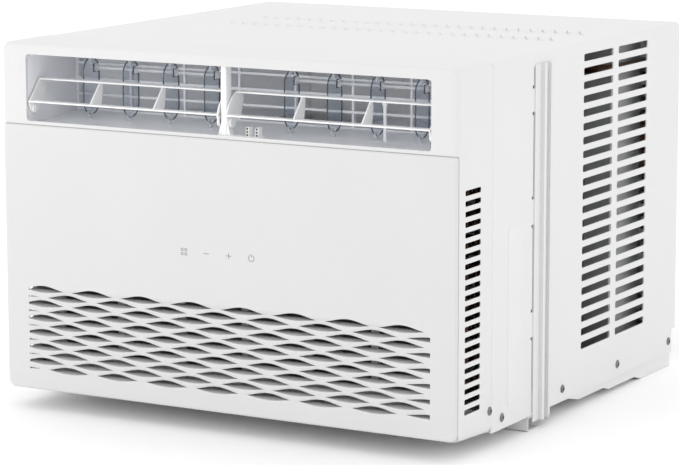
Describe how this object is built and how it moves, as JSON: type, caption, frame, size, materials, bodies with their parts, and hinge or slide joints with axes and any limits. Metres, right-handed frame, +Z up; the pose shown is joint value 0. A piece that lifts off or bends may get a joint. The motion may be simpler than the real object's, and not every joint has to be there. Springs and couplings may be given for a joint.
{
  "type": "window air conditioner",
  "caption": "Window air conditioner with a hinged intake panel, tilting louvres, ganged vanes in its air outlet, a vented metal casing and its cooling machine inside.",
  "frame": {"origin": "middle of the footprint, on the surface that the sill rail and the pan's rear sump stand on", "axes": "+X to the right seen from the room, +Y from the room to the outdoors, so the front faces -Y, and +Z up"},
  "size_m": [0.489, 0.48, 0.3488],
  "materials": {
    "bezel_plastic": "white ABS, fine satin grain",
    "panel_plastic": "white ABS, satin, a little greyer than the bezel",
    "duct_plastic": "white moulded plastic",
    "louvre_plastic": "white moulded plastic, slightly glossy",
    "smoke_plastic": "clear smoke blue plastic",
    "clear_plastic": "milky clear plastic",
    "filter_plastic": "light grey moulded plastic",
    "filter_net": "fine woven nylon net",
    "painted_sheet": "white powder coat, satin",
    "label_film": "blank white adhesive film",
    "plated_screw": "bright zinc plating",
    "zinc_sheet": "galvanised sheet steel",
    "shaft_steel": "ground steel",
    "fin_aluminium": "bare rolled fin stock",
    "copper_tube": "drawn copper tube",
    "tray_foam": "moulded rigid foam",
    "wheel_plastic": "glass filled plastic, dark grey",
    "shroud_plastic": "grey moulded plastic",
    "motor_paint": "black enamel",
    "shell_paint": "black enamel on a pressed steel shell",
    "circuit_board": "green coated laminate",
    "capacitor_can": "drawn can",
    "black_plastic": "black moulded plastic",
    "black_rubber": "black moulded rubber"
  },
  "bodies": {
    "chassis": {"front_bezel": "bezel_plastic", "touch_board": "circuit_board", "filter_frame": "filter_plastic", "filter_mesh": "filter_net", "outlet_duct": "duct_plastic", "outlet_lattice": "duct_plastic", "centre_pillar": "duct_plastic", "cabinet_shell": "painted_sheet", "base_pan": "painted_sheet", "sill_rail": "painted_sheet", "curtain_channel_left": "painted_sheet", "curtain_channel_right": "painted_sheet", "rating_label": "label_film", "case_screws": "plated_screw", "evaporator_fins": "fin_aluminium", "evaporator_tubes": "copper_tube", "evaporator_tray": "tray_foam", "blower_scroll": "tray_foam", "inlet_ring": "tray_foam", "bulkhead": "zinc_sheet", "fan_motor": "motor_paint", "motor_bracket": "zinc_sheet", "condenser_shroud": "shroud_plastic", "condenser_fins": "fin_aluminium", "condenser_tubes": "copper_tube", "compressor": "shell_paint", "compressor_grommets": "black_rubber", "compressor_nuts": "plated_screw", "terminal_cover": "black_plastic", "accumulator": "shell_paint", "suction_line": "copper_tube", "discharge_line": "copper_tube", "capillary_tube": "copper_tube", "control_box": "zinc_sheet", "control_box_cover": "zinc_sheet", "main_board": "circuit_board", "run_capacitor": "capacitor_can", "cord_gland": "black_rubber", "drain_plug": "black_rubber"},
    "front_panel": {"intake_panel": "panel_plastic"},
    "louvre_left": {"louvre_left": "louvre_plastic"},
    "louvre_right": {"louvre_right": "louvre_plastic"},
    "vane_left_1": {"vane_left_1": "smoke_plastic"},
    "vane_left_2": {"vane_left_2": "smoke_plastic"},
    "vane_left_3": {"vane_left_3": "smoke_plastic"},
    "vane_left_4": {"vane_left_4": "smoke_plastic"},
    "vane_right_1": {"vane_right_1": "smoke_plastic"},
    "vane_right_2": {"vane_right_2": "smoke_plastic"},
    "vane_right_3": {"vane_right_3": "smoke_plastic"},
    "vane_right_4": {"vane_right_4": "smoke_plastic"},
    "link_left": {"tie_rod_left": "clear_plastic"},
    "link_right": {"tie_rod_right": "clear_plastic"},
    "rotor": {"blower_wheel": "wheel_plastic", "fan_shaft": "shaft_steel", "condenser_fan": "wheel_plastic"}
  },
  "joints": [
    {"name": "panel_hinge", "type": "hinge", "parent": "chassis", "child": "front_panel", "pos_m": [0, -0.2325, 0.024], "axis": [1, 0, 0], "range_deg": [0, 40]},
    {"name": "louvre_left_tilt", "type": "hinge", "parent": "chassis", "child": "louvre_left", "pos_m": [-0.108, -0.229, 0.286], "axis": [1, 0, 0], "range_deg": [-15, 20]},
    {"name": "louvre_right_tilt", "type": "hinge", "parent": "chassis", "child": "louvre_right", "pos_m": [0.108, -0.229, 0.286], "axis": [1, 0, 0], "range_deg": [-15, 20]},
    {"name": "fan_spin", "type": "hinge", "parent": "chassis", "child": "rotor", "pos_m": [-0.035, 0.02, 0.145], "axis": [0, 1, 0], "continuous": true},
    {"name": "vane_left_1_swing", "type": "hinge", "parent": "chassis", "child": "vane_left_1", "pos_m": [-0.0425, -0.188, 0.304], "axis": [0, 0, 1], "range_deg": [-30, 30]},
    {"name": "vane_left_2_swing", "type": "hinge", "parent": "chassis", "child": "vane_left_2", "pos_m": [-0.087, -0.188, 0.304], "axis": [0, 0, 1], "range_deg": [-30, 30]},
    {"name": "vane_left_3_swing", "type": "hinge", "parent": "chassis", "child": "vane_left_3", "pos_m": [-0.1315, -0.188, 0.304], "axis": [0, 0, 1], "range_deg": [-30, 30]},
    {"name": "vane_left_4_swing", "type": "hinge", "parent": "chassis", "child": "vane_left_4", "pos_m": [-0.176, -0.188, 0.304], "axis": [0, 0, 1], "range_deg": [-30, 30]},
    {"name": "link_left_pin", "type": "hinge", "parent": "vane_left_1", "child": "link_left", "pos_m": [-0.0425, -0.177, 0.3205], "axis": [0, 0, 1], "range_deg": [-30, 30]},
    {"name": "vane_right_1_swing", "type": "hinge", "parent": "chassis", "child": "vane_right_1", "pos_m": [0.0425, -0.188, 0.304], "axis": [0, 0, 1], "range_deg": [-30, 30]},
    {"name": "vane_right_2_swing", "type": "hinge", "parent": "chassis", "child": "vane_right_2", "pos_m": [0.087, -0.188, 0.304], "axis": [0, 0, 1], "range_deg": [-30, 30]},
    {"name": "vane_right_3_swing", "type": "hinge", "parent": "chassis", "child": "vane_right_3", "pos_m": [0.1315, -0.188, 0.304], "axis": [0, 0, 1], "range_deg": [-30, 30]},
    {"name": "vane_right_4_swing", "type": "hinge", "parent": "chassis", "child": "vane_right_4", "pos_m": [0.176, -0.188, 0.304], "axis": [0, 0, 1], "range_deg": [-30, 30]},
    {"name": "link_right_pin", "type": "hinge", "parent": "vane_right_1", "child": "link_right", "pos_m": [0.0425, -0.177, 0.3205], "axis": [0, 0, 1], "range_deg": [-30, 30]}
  ],
  "couplings": [
    {"joint": "vane_left_2_swing", "follows": "vane_left_1_swing", "ratio": 1},
    {"joint": "vane_left_3_swing", "follows": "vane_left_1_swing", "ratio": 1},
    {"joint": "vane_left_4_swing", "follows": "vane_left_1_swing", "ratio": 1},
    {"joint": "link_left_pin", "follows": "vane_left_1_swing", "ratio": -1},
    {"joint": "vane_right_2_swing", "follows": "vane_right_1_swing", "ratio": 1},
    {"joint": "vane_right_3_swing", "follows": "vane_right_1_swing", "ratio": 1},
    {"joint": "vane_right_4_swing", "follows": "vane_right_1_swing", "ratio": 1},
    {"joint": "link_right_pin", "follows": "vane_right_1_swing", "ratio": -1}
  ]
}
